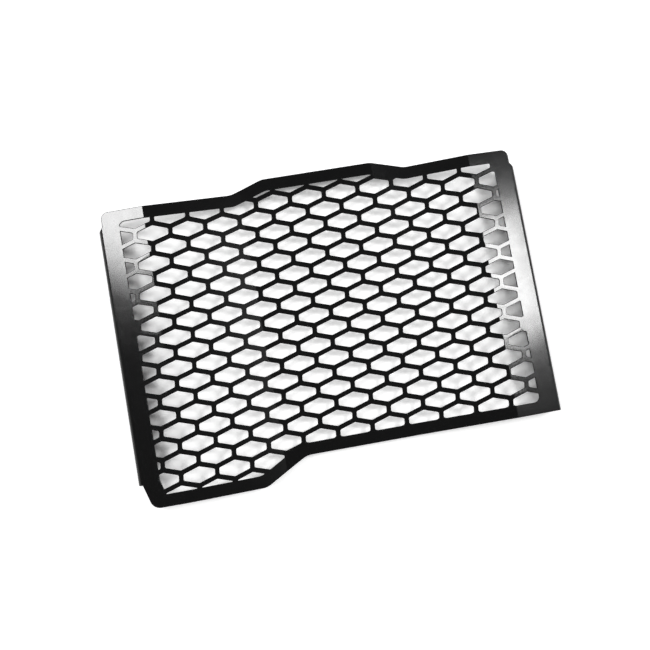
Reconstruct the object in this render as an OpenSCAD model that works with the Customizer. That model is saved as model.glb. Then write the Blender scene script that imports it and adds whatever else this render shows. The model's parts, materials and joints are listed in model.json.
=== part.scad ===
// Motorcycle radiator guard: one sheet, cut flat with a slanted mesh of long hexagons
// and folded along lines that run up the face.
// It lies on the rims of its two side flanges. X runs across the face, Y up the face
// and Z out of it. The origin is on the floor, below the middle of the outline.
// Distances across the face are measured along the folded front surface, as on the
// flat sheet before it was folded.

/* [Sheet] */
// Thickness of the sheet
sheet_t = 1.5; // [1:0.1:2.5]
// Radius on the inner side of every fold
fold_r = 1.5; // [1:0.1:3]
// Depth of the side flanges, from the front surface to the rim
flange_d = 20; // [16:0.5:35]
// Rounding of the flange corners at the rim
flange_r = 4; // [1:0.5:7]

/* [Folded face] */
// Width of the face between the outsides of the two flanges
face_w = 317; // [300:1:350]
// Height between the long top edge and the long bottom edge
face_h = 201; // [170:1:230]
// Distance of the inner folds from the middle
inner_fold = 51; // [35:1:65]
// Angle of the inner folds, which lift the face towards the front
inner_angle = 9; // [3:0.5:12]
// Distance of the outer folds from the middle
outer_fold = 124; // [110:1:130]
// Angle of the outer folds, which turn the face back again
outer_angle = 14; // [5:0.5:20]

/* [Outline] */
// Rounding of the two top corners
corner_r = 5; // [1:0.5:10]
// Height of the raised part of the top edge
raise_h = 8.6; // [4:0.2:14]
// Left end of the raised part's flat top, from the middle
raise_left = -33.4; // [-45:0.2:-20]
// Right end of the raised part's flat top, from the middle
raise_right = 50.4; // [30:0.2:60]
// Slope of the raised part's two ends
raise_angle = 19; // [12:0.5:35]
// Depth of the tab that hangs below the bottom edge at the left
tab_h = 17.7; // [10:0.1:26]
// Right end of the tab's flat bottom, from the middle
tab_right = -67.2; // [-80:0.2:-55]
// Slope of the tab's right end
tab_angle = 28.5; // [20:0.5:45]
// Lean of the tab's left edge from upright
tab_lean = 16.3; // [8:0.1:22]
// Rounding of the tab's lower left corner
tab_r = 7.5; // [2:0.5:10]
// Rounding where the slopes meet the straight edges
slope_r = 14; // [4:1:20]

/* [Flange ends] */
// Distance that the face's side edges lie inside the flanges, past the flange ends
side_step = 3; // [2:0.1:5]
// Distance from the long top edge down to the flanges
flange_top = 14; // [8:0.5:30]
// Length of the slant that joins the side edge to the top of the flange
step_slant = 3.6; // [1:0.2:6]

/* [Mesh] */
// Width of the border above and below the mesh
rail_w = 9; // [6:0.2:14]
// Width of the border beside the mesh, from the side edge
side_w = 12.7; // [9:0.1:18]
// Rounding of the mesh's own corners
mesh_r = 4; // [1:0.5:7]
// Spacing of the openings along a row
cell_pitch = 26; // [20:0.5:34]
// Spacing of the rows
row_pitch = 11.2; // [9:0.1:15]
// Width of the webs between openings
web = 3.55; // [2.5:0.05:5]
// Slant of the webs that run across the face
web_slant = 18; // [10:0.5:25]
// Lean of the upright webs and of the columns
mesh_lean = 6.6; // [0:0.1:12]
// Rounding of the four side corners of an opening
cell_r = 1; // [0.4:0.1:1.6]
// Distance of the lowest full row's centre line above the long bottom edge
first_row = 11.9; // [8:0.1:16]
// Sideways place of an opening in the lowest full row, from the middle
first_cell = 3.9; // [-13:0.1:13]
// Smallest part of an opening that is still cut where the border covers the rest
least_cut = 1.3; // [0.8:0.1:3]

/* [Hidden] */

// Straight pieces that stand for a rounded corner of an opening and of an outline
cell_steps = 2;
edge_steps = 6;
// Largest angle of one straight piece in a fold's curve
fold_facet = 12;
// Extra length of the cutting shapes past the surface that they cut
clear = 1;
// Straight pieces that stand for a full circle
arc_fn = 48;

// Heights in the part's own frame, with the outline's middle at zero
total_h = face_h + raise_h + tab_h;
y_tab = -total_h / 2;
y_bottom = y_tab + tab_h;
y_top = y_bottom + face_h;
y_raise = y_top + raise_h;
y_flange = y_top - flange_top;

// Front surface: distances of the folds, and the slope of each flat beyond them
edge_s = face_w / 2 - side_step;
mid_slope = inner_angle;
wing_slope = inner_angle - outer_angle;
flange_slope = -90;
fold_s = [0, inner_fold, outer_fold, face_w / 2];
slope = [0, mid_slope, wing_slope, flange_slope];

// Sideways place and height of the front surface at the sharp line of fold i
function fold_x(i) = i == 0 ? 0 : fold_x(i - 1) + (fold_s[i] - fold_s[i - 1]) * cos(slope[i - 1]);
function fold_rise(i) = i == 0 ? 0 : fold_rise(i - 1) + (fold_s[i] - fold_s[i - 1]) * sin(slope[i - 1]);
middle_z = flange_d - fold_rise(3);
function fold_z(i) = middle_z + fold_rise(i);
x_out = fold_x(3);

// Sideways place in the folded part of a distance s along the front surface
function flat_of(s) = abs(s) < inner_fold ? 0 : abs(s) < outer_fold ? 1 : 2;
function plan_x(s) = sign(s) * (fold_x(flat_of(s)) + (abs(s) - fold_s[flat_of(s)]) * cos(slope[flat_of(s)]));

// Angle that fold i turns, and the radius of its curve on the front surface
function turn(i) = slope[i] - slope[i - 1];
function front_r(i) = turn(i) > 0 ? fold_r : fold_r + sheet_t;

// Corner p rounded to radius r between its neighbours a and b, in n straight pieces
function unit(v) = v / norm(v);
function round_corner(a, p, b, r, n) =
    let (u = unit(a - p), v = unit(b - p), half = acos(u * v) / 2)
    let (mid = p + unit(u + v) * r / sin(half), start = p + u * r / tan(half) - mid)
    let (side = cross(p - a, b - p) > 0 ? 1 : -1, swing = side * (180 - 2 * half))
    [for (k = [0 : n]) let (t = swing * k / n)
        mid + [start.x * cos(t) - start.y * sin(t), start.x * sin(t) + start.y * cos(t)]];

// Closed outline through points [x, y, r]; a radius of zero leaves the corner sharp
function flat_pt(p) = [p.x, p.y];
function rounded(pts, n) =
    [for (i = [0 : len(pts) - 1])
        let (a = pts[(i + len(pts) - 1) % len(pts)], p = pts[i], b = pts[(i + 1) % len(pts)])
        each p.z == 0 ? [flat_pt(p)] : round_corner(flat_pt(a), flat_pt(p), flat_pt(b), p.z, n)];

// Ends of the slopes on the outline
raise_run = raise_h / tan(raise_angle);
tab_run = tab_h / tan(tab_angle);
tab_left = -edge_s + tab_h * tan(tab_lean);

// The same ends on the mesh's border, one border width further in
win_s = edge_s - side_w;
win_top = y_top - rail_w;
win_raise = y_raise - rail_w;
win_bottom = y_bottom + rail_w;
win_tab = y_tab + rail_w;
raise_in = rail_w * tan(raise_angle / 2);
tab_in = rail_w * tan(tab_angle / 2);
// The border beside the tab's leaning edge
lean_x = side_w / cos(tab_lean);
lean_top = y_bottom + (lean_x - side_w) / tan(tab_lean);
lean_foot = tab_left + lean_x - rail_w * tan(tab_lean);

// Height of the mesh's border at a distance s from the middle
function slope_part(s, s0, s1) = min(1, max(0, (s - s0) / (s1 - s0)));
function border_top(s) = win_top + raise_h
    * (s < (raise_left + raise_right) / 2
        ? slope_part(s, raise_left - raise_run + raise_in, raise_left + raise_in)
        : slope_part(s, raise_right + raise_run - raise_in, raise_right - raise_in));
function border_bottom(s) = win_bottom - tab_h
    * slope_part(s, tab_right + tab_run - tab_in, tab_right - tab_in);

// One opening: half width, and heights of its points and of its upright sides
cell_half = (cell_pitch - web) / 2;
cell_tip = row_pitch / 2 + tan(web_slant) * cell_pitch / 4 - web / 2 / cos(web_slant);
cell_side = cell_tip - tan(web_slant) * cell_half;
function leaning(x, y, r) = [x + y * tan(mesh_lean), y, r];
cell_shape = rounded([
    leaning(cell_half, cell_side, cell_r),
    leaning(0, cell_tip, 0),
    leaning(-cell_half, cell_side, cell_r),
    leaning(-cell_half, -cell_side, cell_r),
    leaning(0, -cell_tip, 0),
    leaning(cell_half, -cell_side, cell_r)
], cell_steps);
cell_reach = cell_half + cell_tip * tan(mesh_lean) + clear;
// Room past the sheet's two surfaces, which bend away from an opening that lies on a fold
cut_room = 2 * cell_reach * tan(max(inner_angle, outer_angle) / 2) + clear;

// Centres of the openings, as distances along the front surface
row_low = floor((win_tab - y_bottom - first_row) / row_pitch) - 1;
row_high = ceil((win_raise - y_bottom - first_row) / row_pitch) + 1;
function row_y(j) = y_bottom + first_row + j * row_pitch;
function row_s(j) = first_cell + (j % 2 == 0 ? 0 : cell_pitch / 2) + j * row_pitch * tan(mesh_lean);
function first_i(j) = ceil((-win_s + least_cut - cell_half - row_s(j)) / cell_pitch);
function last_i(j) = floor((win_s - least_cut + cell_half - row_s(j)) / cell_pitch);
cells = [for (j = [row_low : row_high]) for (i = [first_i(j) : last_i(j)])
    let (s = row_s(j) + i * cell_pitch, y = row_y(j))
    if (y - cell_tip + least_cut < border_top(s) && y + cell_tip - least_cut > border_bottom(s)) [s, y]];

// Outline of the cut sheet, seen from the front of the folded part
module outline() {
    far = x_out + clear;
    edge_x = plan_x(edge_s);
    polygon(rounded([
        [edge_x, y_top, corner_r],
        [plan_x(raise_right + raise_run), y_top, slope_r],
        [plan_x(raise_right), y_raise, slope_r],
        [plan_x(raise_left), y_raise, slope_r],
        [plan_x(raise_left - raise_run), y_top, slope_r],
        [-edge_x, y_top, corner_r],
        [-edge_x, y_flange + step_slant, 0],
        [-x_out, y_flange, 0],
        [-far, y_flange, 0],
        [-far, y_bottom, 0],
        [-edge_x, y_bottom, 0],
        [plan_x(tab_left), y_tab, tab_r],
        [plan_x(tab_right), y_tab, slope_r],
        [plan_x(tab_right + tab_run), y_bottom, slope_r],
        [far, y_bottom, 0],
        [far, y_flange, 0],
        [x_out, y_flange, 0],
        [edge_x, y_flange + step_slant, 0]
    ], edge_steps));
}

// Field that the mesh fills on the flat sheet
module mesh_field() {
    polygon(rounded([
        [win_s, win_top, mesh_r],
        [raise_right + raise_run - raise_in, win_top, slope_r],
        [raise_right - raise_in, win_raise, slope_r],
        [raise_left + raise_in, win_raise, slope_r],
        [raise_left - raise_run + raise_in, win_top, slope_r],
        [-win_s, win_top, mesh_r],
        [-win_s, lean_top, 0],
        [lean_foot, win_tab, 0],
        [tab_right - tab_in, win_tab, slope_r],
        [tab_right + tab_run - tab_in, win_bottom, slope_r],
        [win_s, win_bottom, mesh_r]
    ], edge_steps));
}

// One half of the section's surface that lies a depth d behind the front, out to the rim
function fold_arc(i, d) =
    let (side = turn(i) > 0 ? 1 : -1, middle = (slope[i - 1] + slope[i]) / 2)
    let (reach = side * front_r(i) / cos(turn(i) / 2), r = side * (front_r(i) + side * d))
    let (steps = ceil(abs(turn(i)) / fold_facet), across = fold_x(i) - reach * sin(middle))
    [for (k = [0 : steps]) let (a = slope[i - 1] + turn(i) * k / steps)
        [across + r * sin(a), fold_z(i) + reach * cos(middle) - r * cos(a)]];
function half_surface(d) = concat(fold_arc(1, d), fold_arc(2, d), fold_arc(3, d), [[x_out - d, 0]]);
function reversed(pts) = [for (k = [len(pts) - 1 : -1 : 0]) pts[k]];
function other_side(pts) = [for (p = pts) [-p.x, p.y]];

// The sheet's section: x across the face, y out of it
module section() {
    polygon(concat(
        other_side(reversed(half_surface(0))),
        half_surface(0),
        reversed(half_surface(sheet_t)),
        other_side(half_surface(sheet_t))
    ));
}

// The folded sheet before its outline is cut
module folded_strip() {
    translate([0, total_h / 2 + clear, 0])
        rotate([90, 0, 0])
            linear_extrude(height = total_h + 2 * clear)
                section();
}

// Openings whose centres lie from s0 to s1, cut square to the sheet at distance s
module cut_cells(s0, s1, s, x, z, angle) {
    translate([x, 0, z])
        rotate([0, -angle, 0])
            translate([-s, 0, -sheet_t - cut_room])
                linear_extrude(height = sheet_t + 2 * cut_room)
                    intersection() {
                        mesh_field();
                        union() {
                            for (c = cells)
                                if (c.x > s0 && c.x <= s1)
                                    translate([c.x, c.y])
                                        polygon(cell_shape);
                        }
                    }
}

// Openings of one side: on each fold they are cut square to the fold's middle
module side_cells(side) {
    for (i = [1 : 2]) {
        near = fold_s[i] - cell_reach;
        past = fold_s[i] + cell_reach;
        next = i == 1 ? fold_s[2] - cell_reach : fold_s[3];
        span = side > 0 ? [near, past] : [-past, -near];
        flat = side > 0 ? [past, next] : [-next, -past];
        bend = (slope[i - 1] + slope[i]) / 2;
        cut_cells(span[0], span[1], side * fold_s[i], side * fold_x(i), fold_z(i), side * bend);
        cut_cells(flat[0], flat[1], side * fold_s[i], side * fold_x(i), fold_z(i), side * slope[i]);
    }
}

// Rounded corners of a flange's rim, cut straight through the flange
module rim_corner(y, dir) {
    translate([0, y, 0])
        rotate([90, 0, 90])
            translate([0, 0, -x_out - clear])
                linear_extrude(height = 2 * (x_out + clear))
                    difference() {
                        translate([dir > 0 ? -clear : -flange_r, -clear])
                            square(flange_r + clear);
                        translate([dir * flange_r, flange_r])
                            circle(flange_r, $fn = arc_fn);
                    }
}

module guard() {
    color([0.06, 0.06, 0.065])
        difference() {
            intersection() {
                folded_strip();
                translate([0, 0, -clear])
                    linear_extrude(height = fold_z(2) + 3 * clear)
                        outline();
            }
            cut_cells(-inner_fold + cell_reach, inner_fold - cell_reach, 0, 0, middle_z, 0);
            side_cells(1);
            side_cells(-1);
            rim_corner(y_flange, -1);
            rim_corner(y_bottom, 1);
        }
}

guard();
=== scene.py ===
"""Looks of the motorcycle radiator guard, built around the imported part.

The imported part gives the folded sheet. This file gives it the softened edges and the
powder coat of the real one, and sets it on a pale floor under soft studio lamps.
"""

import json
import math

import bmesh
import bpy
from bpy.props import FloatProperty, FloatVectorProperty, PointerProperty
from mathutils import Matrix, Vector


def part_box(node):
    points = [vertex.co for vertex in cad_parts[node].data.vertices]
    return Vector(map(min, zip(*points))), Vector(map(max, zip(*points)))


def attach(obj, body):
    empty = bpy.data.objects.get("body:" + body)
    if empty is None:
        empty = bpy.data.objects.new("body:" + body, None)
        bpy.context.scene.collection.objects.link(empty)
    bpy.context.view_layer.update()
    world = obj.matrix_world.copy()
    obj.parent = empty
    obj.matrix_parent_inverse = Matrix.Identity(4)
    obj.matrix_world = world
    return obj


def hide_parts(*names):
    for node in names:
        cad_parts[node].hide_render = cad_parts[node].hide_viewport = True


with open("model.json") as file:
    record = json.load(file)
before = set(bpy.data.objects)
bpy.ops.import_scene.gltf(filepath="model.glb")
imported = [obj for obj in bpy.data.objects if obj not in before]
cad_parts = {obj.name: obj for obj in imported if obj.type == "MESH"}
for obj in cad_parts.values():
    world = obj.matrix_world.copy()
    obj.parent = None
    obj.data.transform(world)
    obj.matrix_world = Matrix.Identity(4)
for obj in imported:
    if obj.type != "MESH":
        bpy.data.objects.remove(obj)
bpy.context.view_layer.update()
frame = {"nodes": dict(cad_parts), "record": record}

bl_info = {
    "name": "Radiator Guard",
    "version": (1, 0, 0),
    "blender": (4, 5, 0),
    "location": "3D View > Sidebar > Radiator Guard",
    "description": "Builds the coated radiator guard and its studio",
    "category": "Object",
}

NODE = "guard"
BODY = "root"
COAT_COLOUR = tuple(frame["record"]["materials"][0]["base_color"])

# Distances at which loose corners, and then slivers beside the folds, are merged
MERGE_DISTANCE = 1e-6
SLIVER_LENGTH = 6e-5
# Angles that tell one flat face from the next and a cut edge from a fold
FLAT_ANGLE = math.radians(0.05)
EDGE_ANGLE = math.radians(30)

# Half the guard's width and the thickness of its sheet, in metres
HALF_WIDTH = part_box(NODE)[1].x
SHEET_THICKNESS = 0.0015
# Strip along each side in which a face that leans sideways belongs to the flange
FLANGE_STRIP = 0.0026
# Inner corner of a flange's upper end, where the rounding of its rim stops
RIM_CORNER = (HALF_WIDTH - SHEET_THICKNESS, 0.09105, 0.004)
# Room around that corner within which a point still counts as lying on it
MEND_MARGIN = 0.0001
# Least upward part of the normal on the sheet's flats, and least sideways part on a flange
LEAST_UP = 0.95
LEAST_SIDEWAYS = 0.3

# Refraction of the coat, and its gloss on the faces and on the cut walls
COAT_IOR = 1.5
FACE_GLOSS = 0.5
WALL_GLOSS = 0.2
# Waves of the melted coat to each of its grains
WAVES_PER_GRAIN = 0.08
# Span of the noise in use, and the spans of shade and dullness that it is turned into
NOISE_SPAN = (0.3, 0.7)
SHADE_SPAN = (0.8, 1.25)
DULL_SPAN = (-0.01, 0.02)

# Places of the lamps, in metres
LEFT_LAMP = (-0.682, 0.623, 1.782)
LEFT_STRIP = (-0.893, 0.0, 1.789)
RIGHT_LAMP = (0.990, 0.204, 1.729)
RIGHT_FILL = (0.985, 0.170, 1.735)
# Share of the studio walls' brightness that falls as light on the guard and the floor
WALL_LIGHT = 0.2
# Heights of a direction, 1 being straight up: pale walls up to the first, and a fade to
# the dark shade overhead up to the second
WALL_TOP = 0.35
DARK_FROM = 0.8
DARK_SHADE = 0.05

# Gap below the flanges' rims, and dullness of the floor
FLOOR_GAP = 0.0002
FLOOR_ROUGHNESS = 0.9
# Glow that turns the pale floor white: under the sheet, beside the guard and far from it. The low glow
# under the sheet is painted shade under and near the guard
FLOOR_GLOW_IN_PAINTED_SHADE = 0.02
FLOOR_GLOW_BESIDE = 0.52
FLOOR_GLOW_FAR = 0.93
# Share of the space above the floor that is open, under the sheet and beside it, and
# the height up to which it counts; it sets where the glow drops into painted shade
OPEN_UNDER = 0.36
OPEN_BESIDE = 0.54
OPEN_HEIGHT = 0.06
# Distances from the middle between which the glow turns into that of the far floor
NEAR_FLOOR = 0.3
FAR_FLOOR = 2.0

# Camera of the photo: its place in metres, its directions, and its sensor in millimetres
CAMERA_PLACE = (-0.05705, -0.05975, 0.6771)
CAMERA_RIGHT = (0.98282, -0.17373, 0.06233)
CAMERA_UP = (0.16732, 0.98118, 0.09639)
CAMERA_BACK = (-0.07791, -0.0843, 0.99339)
SENSOR_WIDTH = 36.0


class SheetSettings(bpy.types.PropertyGroup):
    """Sizes of the folded sheet's finish"""

    edge_radius: FloatProperty(
        name="Edge radius",
        description="Rounding that the coat gives to the cut edges",
        default=0.0004,
        min=0.0,
        max=0.0005,
        precision=5,
        subtype="DISTANCE",
        unit="LENGTH",
    )


class CoatSettings(bpy.types.PropertyGroup):
    """Colour and grain of the powder coat"""

    colour: FloatVectorProperty(
        name="Colour",
        description="Colour of the powder coat",
        default=COAT_COLOUR,
        min=0.0,
        max=1.0,
        subtype="COLOR",
    )
    roughness: FloatProperty(
        name="Roughness",
        description="How dull the coat is between its grains",
        default=0.13,
        min=0.0,
        max=1.0,
        subtype="FACTOR",
    )
    wall_roughness: FloatProperty(
        name="Cut wall roughness",
        description="How dull the thin coat on the cut walls is",
        default=0.6,
        min=0.0,
        max=1.0,
        subtype="FACTOR",
    )
    grain_size: FloatProperty(
        name="Grain size",
        description="Distance from one grain of the coat to the next",
        default=0.0006,
        min=0.0001,
        max=0.005,
        precision=5,
        subtype="DISTANCE",
        unit="LENGTH",
    )
    grain_depth: FloatProperty(
        name="Grain depth",
        description="Height of the grains above the coat",
        default=0.000006,
        min=0.0,
        max=0.0005,
        precision=6,
        subtype="DISTANCE",
        unit="LENGTH",
    )


class StageSettings(bpy.types.PropertyGroup):
    """Floor, lamps and camera"""

    floor_colour: FloatVectorProperty(
        name="Floor colour",
        description="Colour of the floor",
        default=(0.9, 0.9, 0.9),
        min=0.0,
        max=1.0,
        subtype="COLOR",
    )
    floor_size: FloatProperty(
        name="Floor size",
        description="Side of the square floor",
        default=24.0,
        min=1.0,
        unit="LENGTH",
    )
    focal_length: FloatProperty(
        name="Focal length",
        description="Focal length of the camera",
        default=49.674,
        min=10.0,
        max=300.0,
        unit="CAMERA",
    )


def math_node(nodes, links, operation, first, second):
    """Math node of two values, each of them a socket or a plain number."""
    node = nodes.new("ShaderNodeMath")
    node.operation = operation
    for socket, value in zip(node.inputs, (first, second)):
        if isinstance(value, bpy.types.NodeSocket):
            links.new(value, socket)
        else:
            socket.default_value = value
    return node


def map_range(nodes, links, value, given_span, new_span):
    """Node that carries a value from one span over to another."""
    node = nodes.new("ShaderNodeMapRange")
    for name, number in zip(("From Min", "From Max", "To Min", "To Max"), given_span + new_span):
        node.inputs[name].default_value = number
    links.new(value, node.inputs["Value"])
    return node


def grain_group():
    """Node group of a powder coat's grain: an uneven melt with fine grains on it."""
    group = bpy.data.node_groups.new("PowderGrain", "ShaderNodeTree")
    sockets = group.interface
    sockets.new_socket("Vector", in_out="INPUT", socket_type="NodeSocketVector")
    sockets.new_socket("Colour", in_out="INPUT", socket_type="NodeSocketColor")
    sockets.new_socket("Roughness", in_out="INPUT", socket_type="NodeSocketFloat")
    sockets.new_socket("Grains per metre", in_out="INPUT", socket_type="NodeSocketFloat")
    sockets.new_socket("Depth", in_out="INPUT", socket_type="NodeSocketFloat")
    sockets.new_socket("Colour", in_out="OUTPUT", socket_type="NodeSocketColor")
    sockets.new_socket("Roughness", in_out="OUTPUT", socket_type="NodeSocketFloat")
    sockets.new_socket("Normal", in_out="OUTPUT", socket_type="NodeSocketVector")

    nodes, links = group.nodes, group.links
    given = nodes.new("NodeGroupInput")
    result = nodes.new("NodeGroupOutput")

    grains = nodes.new("ShaderNodeTexNoise")
    grains.inputs["Detail"].default_value = 2.0
    grains.inputs["Roughness"].default_value = 0.6
    links.new(given.outputs["Vector"], grains.inputs["Vector"])
    links.new(given.outputs["Grains per metre"], grains.inputs["Scale"])

    melt_scale = math_node(nodes, links, "MULTIPLY", given.outputs["Grains per metre"], WAVES_PER_GRAIN)
    melt = nodes.new("ShaderNodeTexNoise")
    melt.inputs["Detail"].default_value = 3.0
    links.new(given.outputs["Vector"], melt.inputs["Vector"])
    links.new(melt_scale.outputs[0], melt.inputs["Scale"])

    shade = map_range(nodes, links, grains.outputs["Fac"], NOISE_SPAN, SHADE_SPAN)
    tinted = nodes.new("ShaderNodeVectorMath")
    tinted.operation = "SCALE"
    links.new(given.outputs["Colour"], tinted.inputs[0])
    links.new(shade.outputs["Result"], tinted.inputs["Scale"])
    links.new(tinted.outputs["Vector"], result.inputs["Colour"])

    dull = map_range(nodes, links, melt.outputs["Fac"], NOISE_SPAN, DULL_SPAN)
    total = math_node(nodes, links, "ADD", given.outputs["Roughness"], dull.outputs["Result"])
    total.use_clamp = True
    links.new(total.outputs[0], result.inputs["Roughness"])

    bump = nodes.new("ShaderNodeBump")
    bump.inputs["Strength"].default_value = 1.0
    links.new(given.outputs["Depth"], bump.inputs["Distance"])
    links.new(grains.outputs["Fac"], bump.inputs["Height"])
    links.new(bump.outputs["Normal"], result.inputs["Normal"])
    return group


def coat_material(name, group, settings, roughness, gloss):
    """Powder coat with its grain, at a given roughness and gloss."""
    material = bpy.data.materials.new(name)
    material.use_nodes = True
    nodes, links = material.node_tree.nodes, material.node_tree.links
    shader = nodes["Principled BSDF"]
    shader.inputs["IOR"].default_value = COAT_IOR
    shader.inputs["Specular IOR Level"].default_value = gloss

    place = nodes.new("ShaderNodeTexCoord")
    grain = nodes.new("ShaderNodeGroup")
    grain.node_tree = group
    grain.inputs["Colour"].default_value = (*settings.colour, 1.0)
    grain.inputs["Roughness"].default_value = roughness
    grain.inputs["Grains per metre"].default_value = 1.0 / settings.grain_size
    grain.inputs["Depth"].default_value = settings.grain_depth
    links.new(place.outputs["Object"], grain.inputs["Vector"])
    links.new(grain.outputs["Colour"], shader.inputs["Base Color"])
    links.new(grain.outputs["Roughness"], shader.inputs["Roughness"])
    links.new(grain.outputs["Normal"], shader.inputs["Normal"])
    return material


def draw_in_splinter(solid, side):
    """Draw the splinter past the rounded rim of one flange in to the rim's corner."""
    x, y, z = RIM_CORNER
    corner = min(solid.verts, key=lambda v: (v.co - Vector((side * x, y, z))).length)
    past = [
        v
        for v in solid.verts
        if side * v.co.x > x - MEND_MARGIN and v.co.y > y + MEND_MARGIN and v.co.z < z + MEND_MARGIN
    ]
    bmesh.ops.weld_verts(solid, targetmap={v: corner for v in past})


def is_cut_wall(face):
    """True for a face across the sheet's thickness, or on its rounded rim."""
    in_strip = abs(face.calc_center_median().x) > HALF_WIDTH - FLANGE_STRIP
    on_flange = in_strip and abs(face.normal.x) > LEAST_SIDEWAYS
    return abs(face.normal.z) < LEAST_UP and not on_flange


class RADIATORGUARD_OT_sheet(bpy.types.Operator):
    """Build the folded sheet with softened edges and its powder coat"""

    bl_idname = "radiator_guard.sheet"
    bl_label = "Folded Sheet"
    bl_options = {"REGISTER", "UNDO"}

    def execute(self, context):
        settings = context.scene.radiator_guard_sheet
        solid = bmesh.new()
        solid.from_mesh(frame["nodes"][NODE].data)
        bmesh.ops.remove_doubles(solid, verts=solid.verts, dist=MERGE_DISTANCE)
        bmesh.ops.dissolve_limit(
            solid,
            angle_limit=FLAT_ANGLE,
            use_dissolve_boundaries=False,
            verts=solid.verts,
            edges=solid.edges,
            delimit={"NORMAL"},
        )
        bmesh.ops.remove_doubles(solid, verts=solid.verts, dist=SLIVER_LENGTH)
        draw_in_splinter(solid, 1)
        draw_in_splinter(solid, -1)
        cut = [e for e in solid.edges if len(e.link_faces) == 2 and e.calc_face_angle() > EDGE_ANGLE]
        bmesh.ops.bevel(
            solid,
            geom=cut,
            offset=settings.edge_radius,
            offset_type="OFFSET",
            segments=2,
            profile=0.5,
            affect="EDGES",
            clamp_overlap=False,
            material=-1,
        )
        for face in solid.faces:
            face.smooth = True
            face.material_index = 1 if is_cut_wall(face) else 0
        mesh = bpy.data.meshes.new("folded_sheet")
        solid.to_mesh(mesh)
        solid.free()
        sheet = bpy.data.objects.new("folded_sheet", mesh)
        context.scene.collection.objects.link(sheet)
        coat = context.scene.radiator_guard_coat
        grain = grain_group()
        mesh.materials.append(coat_material("PowderCoat", grain, coat, coat.roughness, FACE_GLOSS))
        mesh.materials.append(coat_material("CutWallCoat", grain, coat, coat.wall_roughness, WALL_GLOSS))

        shading = sheet.modifiers.new("FlatsStayFlat", "WEIGHTED_NORMAL")
        shading.mode = "FACE_AREA"
        shading.weight = 100
        shading.keep_sharp = True
        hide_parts(NODE)
        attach(sheet, BODY)
        return {"FINISHED"}


def background_rays(nodes, links):
    """Value of 1 for rays that see the background, straight on or in a gloss or a glass."""
    path = nodes.new("ShaderNodeLightPath").outputs
    open_air = math_node(nodes, links, "MAXIMUM", path["Is Camera Ray"], path["Is Glossy Ray"])
    seen = math_node(nodes, links, "MAXIMUM", open_air.outputs[0], path["Is Transmission Ray"])
    return seen.outputs[0]


def floor_material(colour):
    """Pale floor that shows as white and keeps the guard's shadow, with painted shade where the guard
    closes the space above it.
    """
    material = bpy.data.materials.new("PaleFloor")
    material.use_nodes = True
    nodes, links = material.node_tree.nodes, material.node_tree.links
    shader = nodes["Principled BSDF"]
    shader.inputs["Base Color"].default_value = (*colour, 1.0)
    shader.inputs["Roughness"].default_value = FLOOR_ROUGHNESS
    shader.inputs["Specular IOR Level"].default_value = 0.0
    shader.inputs["Emission Color"].default_value = (1.0, 1.0, 1.0, 1.0)

    # Painted shade: the glow dims where the guard closes the space above the floor, under and near it
    openness_for_painted_shade = nodes.new("ShaderNodeAmbientOcclusion")
    openness_for_painted_shade.samples = 16
    openness_for_painted_shade.inputs["Distance"].default_value = OPEN_HEIGHT
    open_span = (OPEN_UNDER, OPEN_BESIDE)
    glow_span = (FLOOR_GLOW_IN_PAINTED_SHADE, FLOOR_GLOW_BESIDE)
    painted_shade_glow = map_range(nodes, links, openness_for_painted_shade.outputs["AO"], open_span, glow_span)

    place = nodes.new("ShaderNodeTexCoord")
    away = nodes.new("ShaderNodeVectorMath")
    away.operation = "LENGTH"
    links.new(place.outputs["Object"], away.inputs[0])
    floor_span = (NEAR_FLOOR, FAR_FLOOR)
    glow_span = (FLOOR_GLOW_BESIDE, FLOOR_GLOW_FAR)
    lift = map_range(nodes, links, away.outputs["Value"], floor_span, glow_span)
    links.new(painted_shade_glow.outputs["Result"], lift.inputs["To Min"])
    glow = math_node(nodes, links, "MULTIPLY", background_rays(nodes, links), lift.outputs["Result"])
    links.new(glow.outputs[0], shader.inputs["Emission Strength"])
    return material


def soft_lamp(name, place, width, height, power, in_gloss=True):
    """Area lamp at a place, turned towards the guard, and seen in its gloss or not."""
    data = bpy.data.lights.new(name, "AREA")
    data.shape = "RECTANGLE"
    data.size = width
    data.size_y = height
    data.energy = power
    lamp = bpy.data.objects.new(name, data)
    bpy.context.scene.collection.objects.link(lamp)
    away = Vector(place)
    lamp.matrix_world = Matrix.Translation(away) @ away.to_track_quat("Z", "Y").to_matrix().to_4x4()
    lamp.visible_camera = False
    lamp.visible_glossy = in_gloss


def studio_world():
    """Studio walls: pale at the sides and dark overhead."""
    world = bpy.data.worlds.new("Studio")
    world.use_nodes = True
    nodes, links = world.node_tree.nodes, world.node_tree.links
    sky = nodes["Background"]
    way = nodes.new("ShaderNodeTexCoord")
    parts = nodes.new("ShaderNodeSeparateXYZ")
    links.new(way.outputs["Generated"], parts.inputs[0])
    ramp = nodes.new("ShaderNodeValToRGB")
    walls, dark = ramp.color_ramp.elements
    walls.position = WALL_TOP
    walls.color = (1.0, 1.0, 1.0, 1.0)
    dark.position = DARK_FROM
    dark.color = (DARK_SHADE, DARK_SHADE, DARK_SHADE, 1.0)
    links.new(parts.outputs["Z"], ramp.inputs["Fac"])
    links.new(ramp.outputs["Color"], sky.inputs["Color"])
    strength = map_range(nodes, links, background_rays(nodes, links), (0.0, 1.0), (WALL_LIGHT, 1.0))
    links.new(strength.outputs["Result"], sky.inputs["Strength"])
    return world


def photo_camera(focal_length):
    """Camera at the photo's viewing angle."""
    data = bpy.data.cameras.new("photo_camera")
    data.lens = focal_length
    data.sensor_width = SENSOR_WIDTH
    camera = bpy.data.objects.new("photo_camera", data)
    bpy.context.scene.collection.objects.link(camera)
    turned = Matrix((CAMERA_RIGHT, CAMERA_UP, CAMERA_BACK)).transposed().to_4x4()
    camera.matrix_world = Matrix.Translation(CAMERA_PLACE) @ turned
    return camera


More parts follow.
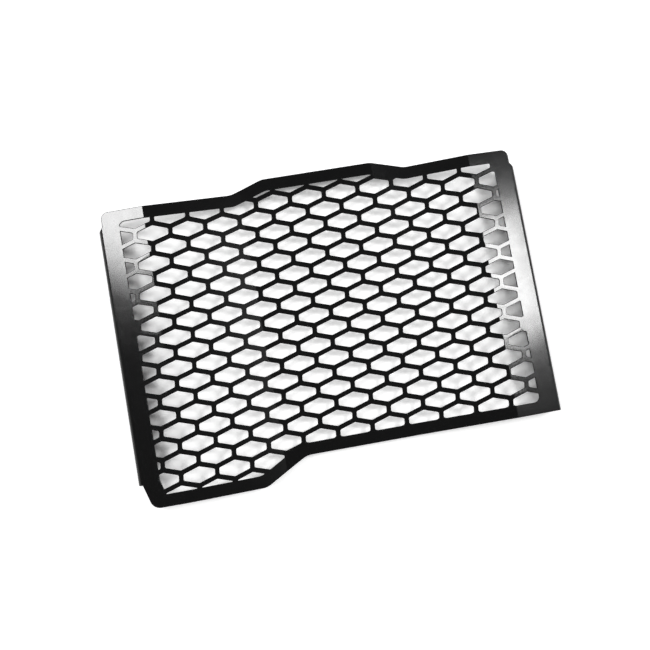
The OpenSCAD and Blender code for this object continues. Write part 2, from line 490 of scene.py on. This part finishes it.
class RADIATORGUARD_OT_stage(bpy.types.Operator):
    """Set up the floor, the lamps, the studio's walls and the camera"""

    bl_idname = "radiator_guard.stage"
    bl_label = "Studio"
    bl_options = {"REGISTER", "UNDO"}

    def execute(self, context):
        settings = context.scene.radiator_guard_stage
        flat = bmesh.new()
        bmesh.ops.create_grid(flat, x_segments=1, y_segments=1, size=settings.floor_size / 2)
        bmesh.ops.translate(flat, verts=flat.verts, vec=(0.0, 0.0, -FLOOR_GAP))
        mesh = bpy.data.meshes.new("studio_floor")
        flat.to_mesh(mesh)
        flat.free()
        floor = bpy.data.objects.new("studio_floor", mesh)
        context.scene.collection.objects.link(floor)
        mesh.materials.append(floor_material(settings.floor_colour))

        # Two of the lamps aren't seen in the gloss, and add only light and shadow
        soft_lamp("left_lamp", LEFT_LAMP, width=0.40, height=0.375, power=10.8)
        soft_lamp("left_strip", LEFT_STRIP, width=0.40, height=2.10, power=14.0, in_gloss=False)
        soft_lamp("right_lamp", RIGHT_LAMP, width=0.35, height=0.225, power=6.95)
        soft_lamp("right_fill", RIGHT_FILL, width=0.80, height=1.00, power=1.2)
        soft_lamp("right_key", RIGHT_LAMP, width=0.40, height=0.40, power=6.55, in_gloss=False)
        context.scene.world = studio_world()
        context.scene.view_settings.view_transform = "Standard"
        context.scene.camera = photo_camera(settings.focal_length)
        return {"FINISHED"}


class RADIATORGUARD_PT_build(bpy.types.Panel):
    """Lists the guard's settings and the steps that build it"""

    bl_label = "Radiator Guard"
    bl_idname = "RADIATORGUARD_PT_build"
    bl_space_type = "VIEW_3D"
    bl_region_type = "UI"
    bl_category = "Radiator Guard"

    def draw(self, context):
        layout = self.layout
        for name in ("sheet", "coat", "stage"):
            settings = getattr(context.scene, "radiator_guard_" + name)
            box = layout.box()
            for key in settings.bl_rna.properties.keys():
                if key not in {"rna_type", "name"}:
                    box.prop(settings, key)
        layout.operator(RADIATORGUARD_OT_sheet.bl_idname)
        layout.operator(RADIATORGUARD_OT_stage.bl_idname)


CLASSES = (
    SheetSettings,
    CoatSettings,
    StageSettings,
    RADIATORGUARD_OT_sheet,
    RADIATORGUARD_OT_stage,
    RADIATORGUARD_PT_build,
)


def register():
    for cls in CLASSES:
        bpy.utils.register_class(cls)
    bpy.types.Scene.radiator_guard_sheet = PointerProperty(type=SheetSettings)
    bpy.types.Scene.radiator_guard_coat = PointerProperty(type=CoatSettings)
    bpy.types.Scene.radiator_guard_stage = PointerProperty(type=StageSettings)


def unregister():
    del bpy.types.Scene.radiator_guard_stage
    del bpy.types.Scene.radiator_guard_coat
    del bpy.types.Scene.radiator_guard_sheet
    for cls in reversed(CLASSES):
        bpy.utils.unregister_class(cls)


def main():
    """Build the guard and its studio."""
    register()
    bpy.ops.radiator_guard.sheet()
    bpy.ops.radiator_guard.stage()


if __name__ == "__main__":
    main()
